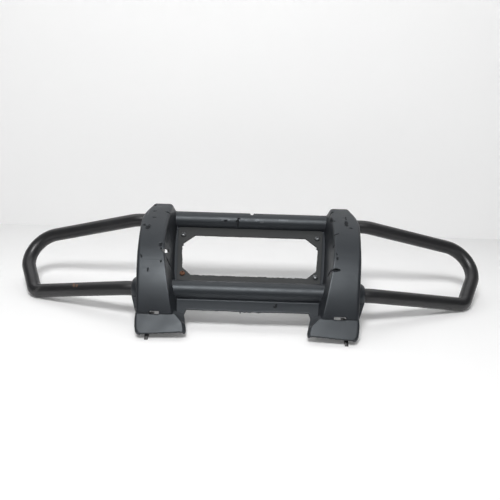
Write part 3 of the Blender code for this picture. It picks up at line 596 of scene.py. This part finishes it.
hollow_heights = list(np.arange(FOOT_Z + WALL, BROW_Z - WALL, 3.0))
hollow_heights += list(np.linspace(BROW_Z - WALL, CROWN_Z - WALL, 12))
inner_forms = [sheet([(-400, -400), (400, -400), (400, 400), (-400, 400)], -400, BACK_N)]
for sign in (1, -1):
    inner_forms += [
        loft([upright_ring(sign, z, WALL, DEEP_N - 10) for z in hollow_heights]),
        loft([foot_ring(sign, z, WALL, DEEP_N - 10) for z in [-104] + foot_heights[:-1] + [-48.7]])]
inner_forms += [turned(bore(), height, 90) for height in (0.0, UP)]
(low_x, low_z), (hip_x, hip_z), (shoulder_x, shoulder_z), (top_x, top_z) = WINDOW
ledge_opening = both([(low_x, low_z - 2.4), (hip_x + 1.5, hip_z - 0.75),
                      (shoulder_x + 3, shoulder_z + 12), (top_x + 8, top_z + 12)])
inner_forms.append(sheet(ledge_opening, -10, 10))
for sign in (1, -1):
    trim = [(sign * x, z) for x, z in ((90, -88.6), (215, -97.8), (215, -200), (90, -200))]
    inner_forms.append(sheet(trim, -30, 30))
    inner_forms += [sheet(screw_way(sign * x, z, 24), -6, 6) for x, z in SCREW_SPOTS.values()]
inner_forms += [slanted(slot, FOOT_N, 20, -6, TEAR_CLIMB, SLOT_SPREAD) for slot in SLOTS]
inner_forms.append(slanted(LEFT_SPLIT, TEAR_N, 66, 18))
inner_forms.append(slanted(RIGHT_CRACK, 49.0, 60, 47.8, TEAR_CLIMB, 0.0))
NICK_TURN, NICK_R, NICK_X = math.radians(46.5), 15.3, (-1.3, 4.5)
nick_out = Vector((math.cos(NICK_TURN), math.sin(NICK_TURN)))
nick_along = Vector((-math.sin(NICK_TURN), math.cos(NICK_TURN)))
nick_corners = [nick_out * (NICK_R + rise) + nick_along * run
                for run, rise in ((-13, 0), (-13, 8), (13, 8), (13, 0))]
inner_forms.append(loft([[flat_point(x, n, UP + BAR_SHIFT + z) for n, z in nick_corners]
                         for x in NICK_X]))
print(len(inner_forms), "inner forms")

# %% [markdown]
# A moulding has no razor edges and its forms flow into each other. After the Booleans the
# shell is turned into small even cells of eight tenths of a millimetre and relaxed a little,
# which rounds every edge and fills every inner corner with a small fillet, as the mould
# does. The even cells also give the next step something to push.

# %% Fuse, hollow and soften


def settle(obj):
    """Turn an object's modifiers into plain mesh."""
    bpy.context.view_layer.update()
    shaped = obj.evaluated_get(bpy.context.evaluated_depsgraph_get())
    mesh = bpy.data.meshes.new_from_object(shaped)
    obj.modifiers.clear()
    obj.data = mesh
    return obj


def carve(base, forms, operation):
    """Join the forms to the base or take them out of it, then drop them."""
    for form in forms:
        bpy.context.scene.collection.objects.link(form)
        step = base.modifiers.new("step", "BOOLEAN")
        step.operation = operation
        step.solver = "EXACT"
        step.object = form
    settle(base)
    for form in forms:
        bpy.data.objects.remove(form, do_unlink=True)
    return base


def soften(obj, cell, rounds):
    """Rebuild the surface in even cells, given in mm, and relax it."""
    even = obj.modifiers.new("cells", "REMESH")
    even.mode = "VOXEL"
    even.voxel_size = cell * MM
    relax = obj.modifiers.new("relax", "SMOOTH")
    relax.factor = 0.5
    relax.iterations = rounds
    return settle(obj)


def thin_out(obj, most):
    """Fewer triangles where the surface is flat."""
    triangles = sum(len(face.vertices) - 2 for face in obj.data.polygons)
    if triangles > most:
        fewer = obj.modifiers.new("fewer", "DECIMATE")
        fewer.ratio = most / triangles
        settle(obj)
    return obj


shell = outer_forms[0]
bpy.context.scene.collection.objects.link(shell)
carve(shell, outer_forms[1:], "UNION")
carve(shell, inner_forms, "DIFFERENCE")
print("the drawn shell has", len(shell.data.polygons), "faces")
soften(shell, 0.8, 4)
print("the softened shell has", len(shell.data.polygons), "faces")

# %% [markdown]
# Knocks and scrapes are pressed into the mesh itself, so that they shade and cast like the
# real ones. Each is an oval place on the front of the flat layout. Inside it the surface is
# pushed in, at its rim a thin burr is thrown up, and small random steps keep the rim ragged.

# %% Press the knocks in


def steps(x, z, size):
    """Repeatable small unevenness between -1 and 1 at a scale in mm."""
    across = np.sin(x * 6.283 / size + 1.3 * np.sin(z * 4.1 / size))
    upward = np.sin(z * 5.3 / size + 1.7 * np.sin(x * 3.7 / size))
    return (across + upward) / 2


def press(mesh, knocks):
    """Push ovals of the front side in along the surface and raise a burr at their rims."""
    count = len(mesh.vertices)
    place, out = np.empty(count * 3), np.empty(count * 3)
    mesh.vertices.foreach_get("co", place)
    mesh.vertices.foreach_get("normal", out)
    place, out = place.reshape(-1, 3), out.reshape(-1, 3)
    x, n, z = place[:, 0] / MM, -place[:, 1] / MM, place[:, 2] / MM
    facing = np.clip(-out[:, 1] * 0.77 + out[:, 2] * 0.64 + 0.1, 0, 1) > 0.25
    shift = np.zeros(count)
    for gx, gz, half_x, half_z, turn, depth in knocks:
        c, s = math.cos(math.radians(turn)), math.sin(math.radians(turn))
        u, v = (x - gx) * c + (z - gz) * s, (z - gz) * c - (x - gx) * s
        reach = np.sqrt((u / half_x) ** 2 + (v / half_z) ** 2) + 0.22 * steps(x, z, 2.6)
        inside = np.clip((1.0 - reach) / 0.45, 0, 1)
        rim = np.clip(1 - np.abs(reach - 1.12) / 0.2, 0, 1)
        shift += facing * (0.25 * depth * rim * (0.5 + 0.5 * steps(x, z, 1.7)) - depth * inside)
    place += out * (shift * MM)[:, None]
    mesh.vertices.foreach_set("co", place.ravel())
    mesh.update()
    return int((shift != 0).sum())


print(press(shell.data, KNOCKS_AND_CRACK_SHADE), "points of the shell were moved by", len(KNOCKS_AND_CRACK_SHADE), "knocks")

# %% [markdown]
# The shell still stands in the flat layout. It is thinned out where it is flat, laid down
# with the rest of the bumper, and takes the place of the plainer solid of the frame. Its
# plastic is mapped by the flat layout too, so each dark knock, and each patch of painted
# shade at the split and the crack, lands on its own dent.

# %% Put the cover in its place


def link_mesh(name, mesh, finish_material):
    """Object for a mesh that is already in place, riding on the bumper's one body."""
    obj = bpy.data.objects.new(name, mesh)
    bpy.context.scene.collection.objects.link(obj)
    mesh.materials.clear()
    mesh.materials.append(finish_material)
    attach(obj, "root")
    return obj


def smooth(mesh, angle=35):
    """Soft shading that stops at edges sharper than the angle."""
    mesh.polygons.foreach_set("use_smooth", [True] * len(mesh.polygons))
    mesh.set_sharp_from_angle(angle=math.radians(angle))


flat_to_room = Matrix.Translation(REST * MM) @ Matrix.Rotation(LEAN, 4, "X")
thin_out(shell, 190000)
shell_mesh = shell.data
bpy.data.objects.remove(shell, do_unlink=True)
shell_mesh.transform(flat_to_room)
smooth(shell_mesh, 60)
cover = link_mesh("moulded_cover", shell_mesh, cover_plastic)
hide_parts("cover")
print("the cover has", len(cover.data.polygons), "faces")

# %% [markdown]
# The grille panel is a plain sheet with rounded corners. Its window was cut by hand with a
# saw: the top edge came out clean, the bottom and left edges wandered and kept small burrs
# and torn bits of plastic. The outline has those errors in it, one point per millimetre.

# %% Grille panel
PANEL_N0, PANEL_N1 = 0.3, 3.3
PANEL_GAP = 0.8
bar_edge = math.sqrt(BAR_R ** 2 - PANEL_N1 ** 2)
panel_low, panel_high = -BAR_SHIFT + bar_edge + PANEL_GAP, UP + BAR_SHIFT - bar_edge - PANEL_GAP
panel_outline = both([(between(RECESS_LINE, z) - PANEL_GAP, z) for z in (panel_low, panel_high)])
panel_outline = fillet([(x, z) for x, z in panel_outline], [5] * 4, 6)
corners = [(-low_x, low_z), (low_x, low_z), (hip_x, hip_z), (shoulder_x, shoulder_z), (top_x, top_z),
           (-top_x, top_z), (-shoulder_x, shoulder_z), (-hip_x, hip_z)]
EDGE_DEPTHS = [0.75, 0.15, 0.12, 0.12, 0.2, 0.2, 0.5, 0.3]
window_outline = []
for i, depth in enumerate(EDGE_DEPTHS):
    window_outline += rough_edge(corners[i - 8], corners[i - 7], 1.1, depth)
panel = sheet(panel_outline, PANEL_N0, PANEL_N1)
bpy.context.scene.collection.objects.link(panel)
openings = [sheet(window_outline, -5, 9)]
for sign in (1, -1):
    openings += [sheet(screw_way(sign * x, z, 32), -5, 9) for x, z in SCREW_SPOTS.values()]
carve(panel, openings, "DIFFERENCE")
soften(panel, 0.45, 2)
PANEL_SCRAPES = [(-112, 41, 5, 1.0, 40, 0.3), (-60, 27.5, 8, 0.8, 3, 0.3), (30, 26, 6, 0.7, -4, 0.3)]
press(panel.data, PANEL_SCRAPES)
thin_out(panel, 90000)
panel_mesh = panel.data
bpy.data.objects.remove(panel, do_unlink=True)
panel_mesh.transform(flat_to_room)
smooth(panel_mesh, 50)
panel = link_mesh("window_panel", panel_mesh, panel_plastic)
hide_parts("grille_panel")
print("the panel has", len(panel.data.polygons), "faces")

# %% [markdown]
# Flat sheet parts need less. The solids of the frame carry their true shape with sharp
# edges, and a sheared or sawn edge is never quite sharp: light catches on it. So each plate
# and strap is a copy of its solid with every hard edge rounded. Doubled corners are merged
# and flat areas joined first, so that the Bevel has clean edges to work on.

# %% Rounded copies


def clean_copy(node):
    """Copy of a solid's mesh with merged corners and joined flats."""
    mesh = nodes[node].data.copy()
    bm = bmesh.new()
    bm.from_mesh(mesh)
    bmesh.ops.remove_doubles(bm, verts=bm.verts, dist=0.000002)
    bmesh.ops.dissolve_limit(bm, angle_limit=math.radians(0.6), verts=bm.verts, edges=bm.edges)
    bm.to_mesh(mesh)
    bm.free()
    return mesh


def rounded_piece(node, name, width, cutter):
    """Copy of one solid, cut by a form of the flat layout, its edges rounded by width in mm."""
    obj = link_mesh(name, clean_copy(node), plate_paint)
    cutter.data.transform(flat_to_room)
    bpy.context.scene.collection.objects.link(cutter)
    cut = obj.modifiers.new("cut", "BOOLEAN")
    cut.operation = "DIFFERENCE"
    cut.solver = "EXACT"
    cut.object = cutter
    bevel = obj.modifiers.new("round", "BEVEL")
    bevel.width = width * MM
    bevel.segments = 2
    bevel.limit_method = "ANGLE"
    bevel.angle_limit = math.radians(32)
    bevel.harden_normals = False
    settle(obj)
    bpy.data.objects.remove(cutter, do_unlink=True)
    smooth(obj.data)
    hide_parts(node)
    print(name, "has", len(obj.data.polygons), "faces")
    return obj


print("the plates and straps will be rounded from", len(nodes["side_plate_left"].data.polygons),
      "and", len(nodes["grille_strap_left"].data.polygons), "faces each")


# %% [markdown]
# The loop is drawn again along the same centre line, with finer steps than the solid needs.
# Each half is a real tube with an outside and a bore. A ring of points is carried along the
# line and turned no more than the line turns, so that the wall never twists.

# %% Steel loop


def ring_frames(line):
    """A pair of directions across the line at each of its points, carried without twist."""
    ahead = [(b - a).normalized() for a, b in zip(line, line[1:])]
    tangents = [ahead[0]] + [(a + b).normalized() for a, b in zip(ahead, ahead[1:])] + [ahead[-1]]
    side = tangents[0].orthogonal().normalized()
    frames = []
    for before, tangent in zip([tangents[0]] + tangents, tangents):
        side = before.rotation_difference(tangent) @ side
        side = (side - tangent * side.dot(tangent)).normalized()
        frames.append((side, tangent.cross(side)))
    return frames


def tube_mesh(name, line, outer, inner, sides=44):
    """Open-ended tube with a wall; line, outer and inner are in metres."""
    rings = []
    frames = ring_frames(line)
    outward = list(zip(line, frames, [outer] * len(line)))
    inward = list(zip(line, frames, [inner] * len(line)))[::-1]
    bm = bmesh.new()
    for point, (side, across), radius in outward + inward:
        turns = [2 * math.pi * k / sides for k in range(sides)]
        rings.append([bm.verts.new(point + (side * math.cos(t) + across * math.sin(t)) * radius)
                      for t in turns])
    for low, high in zip(rings, rings[1:] + rings[:1]):
        for k in range(sides):
            j = (k + 1) % sides
            bm.faces.new((low[k], low[j], high[j], high[k]))
    bmesh.ops.recalc_face_normals(bm, faces=bm.faces)
    mesh = bpy.data.meshes.new(name)
    bm.to_mesh(mesh)
    bm.free()
    smooth(mesh)
    return mesh


TUBE_WALL = 2.0
for hand, sign in (("left", -1), ("right", 1)):
    fine_line = bend_path([(sign * x, -n, z) for x, n, z in LOOP_CORNERS], LOOP_RADII, 4)
    placed = [(lean_turn @ point + REST) * MM for point in fine_line]
    mesh = tube_mesh("loop_tube_" + hand, placed, TUBE_R * MM, (TUBE_R - TUBE_WALL) * MM)
    tube = link_mesh("loop_tube_" + hand, mesh, tube_paint)
    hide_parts("frame_tube_" + hand)
    print("loop tube", hand, "has", len(tube.data.polygons), "faces")

# %% [markdown]
# Two steel plates carry the bumper on the vehicle, and two short straps hold the panel from
# behind. Where the slots over the feet would look onto a plate, the plate has a notch on the
# same slanted line, and the straps' corners keep clear of the window. What nobody sees well,
# the sleeves, nuts, washers and screws, stays the solid of the frame and only gets its steel.

# %% Plates, straps and fasteners
strap_corner = both([(shoulder_x - 6, shoulder_z - 2), (shoulder_x + 3, shoulder_z + 12),
                     (top_x + 8, top_z + 12), (top_x - 6, top_z + 12), (top_x - 6, top_z - 4)])
for hand, slot in (("left", SLOTS[1]), ("right", SLOTS[0])):
    notch = slanted(slot, FOOT_N, 20, -45, TEAR_CLIMB, SLOT_SPREAD)
    rounded_piece("side_plate_" + hand, "mount_plate_" + hand, 0.5, notch)
    rounded_piece("grille_strap_" + hand, "panel_strap_" + hand, 0.3, sheet(strap_corner, -30, 30))
for name, obj in nodes.items():
    if name.startswith(("lower_joint", "upper_joint", "grille_screw", "grille_nut", "grille_washer")):
        obj.data.materials.clear()
        obj.data.materials.append(rusty_steel if name == "grille_screw_lower_left" else plated_steel)
print("carried-over pieces have their finishes")

# %% [markdown]
# The bumper was photographed on a white sheet in front of a white wall. Here both are one
# flat plane each. Lamps strong enough to turn them white would bleach the bumper too, so
# the planes glow faintly by themselves, but only for the camera and for mirrored views.
# They throw back plain grey light, and they keep the bumper's shadow. Both are one-sided:
# from behind or below they let the view through, so that the bumper can be turned round.

# %% Floor and wall


def stage_plane(name, corners, seen_colour, bounce_colour, lift):
    """Flat backdrop that is paler to the camera than to the light bouncing off it."""
    mesh = bpy.data.meshes.new(name)
    mesh.from_pydata(corners, [], [(0, 1, 2, 3)])
    obj = bpy.data.objects.new(name, mesh)
    bpy.context.scene.collection.objects.link(obj)
    mat, tree, shader = start_material(name)
    room = room_coords(tree)
    tone = mix(tree, noise(tree, room, 3, 3), (seen_colour,) * 3, (seen_colour * 0.985,) * 3)
    path = tree.nodes.new("ShaderNodeLightPath").outputs
    mirrored = maths(tree, "MAXIMUM", path["Is Glossy Ray"], path["Is Transmission Ray"])
    seen = maths(tree, "MAXIMUM", path["Is Camera Ray"], mirrored)
    tree.links.new(mix(tree, seen, (bounce_colour,) * 3, tone), shader.inputs["Base Color"])
    shader.inputs["Roughness"].default_value = 0.9
    shader.inputs["Emission Color"].default_value = (1, 1, 1, 1)
    tree.links.new(maths(tree, "MULTIPLY", seen, lift), shader.inputs["Emission Strength"])
    one_sided = tree.nodes.new("ShaderNodeMixShader")
    tree.links.new(tree.nodes.new("ShaderNodeNewGeometry").outputs["Backfacing"], one_sided.inputs[0])
    tree.links.new(shader.outputs["BSDF"], one_sided.inputs[1])
    tree.links.new(tree.nodes.new("ShaderNodeBsdfTransparent").outputs["BSDF"], one_sided.inputs[2])
    tree.links.new(one_sided.outputs["Shader"], tree.nodes["Material Output"].inputs["Surface"])
    mesh.materials.append(mat)
    return obj


REACH, WALL_Y, WALL_TOP = 4, 0.431, 0.6
floor_corners = [(-REACH, -REACH, 0), (REACH, -REACH, 0), (REACH, WALL_Y, 0), (-REACH, WALL_Y, 0)]
wall_corners = [(-REACH, WALL_Y, 0), (REACH, WALL_Y, 0), (REACH, WALL_Y, WALL_TOP),
                (-REACH, WALL_Y, WALL_TOP)]
stage_plane("floor", floor_corners, 0.86, 0.7, 0.1)
stage_plane("wall", wall_corners, 0.7, 0.75, 0.34)
print("the wall stands", WALL_Y, "m behind the middle of the bumper")

# %% [markdown]
# Three soft lamps light it. The wide one behind, above the wall, whitens the floor and
# throws the shadow towards the viewer. The smaller one in front and overhead is mirrored in
# the bars and in the bulge of the uprights: that band of light is what shows their roundness.
# A weak one at the front lifts the shaded sides, and a faint sky fills what is left.

# %% Lamps and sky


def lamp(name, place, aim, width, height, watts):
    """Rectangular soft lamp; place, aim and size are in metres."""
    data = bpy.data.lights.new(name, "AREA")
    data.shape = "RECTANGLE"
    data.size = width
    data.size_y = height
    data.energy = watts
    obj = bpy.data.objects.new(name, data)
    obj.location = place
    obj.rotation_euler = (Vector(aim) - Vector(place)).to_track_quat("-Z", "Y").to_euler()
    bpy.context.scene.collection.objects.link(obj)
    return obj


lamp("back_light", (-0.1, 0.84, 1.52), (0, -0.03, 0.05), 3.2, 1.5, 21)
lamp("ceiling_light", (-0.1, -0.9, 1.62), (0, -0.03, 0.08), 0.66, 0.5, 26)
lamp("front_light", (0, -1.6, 1.35), (0, -0.03, 0.08), 2.4, 0.6, 2)
sky = bpy.data.worlds.new("studio_air")
sky.use_nodes = True
sky.node_tree.nodes["Background"].inputs["Color"].default_value = (1, 1, 1, 1)
sky.node_tree.nodes["Background"].inputs["Strength"].default_value = 0.05
bpy.context.scene.world = sky
print("three lamps and a faint sky light the scene")
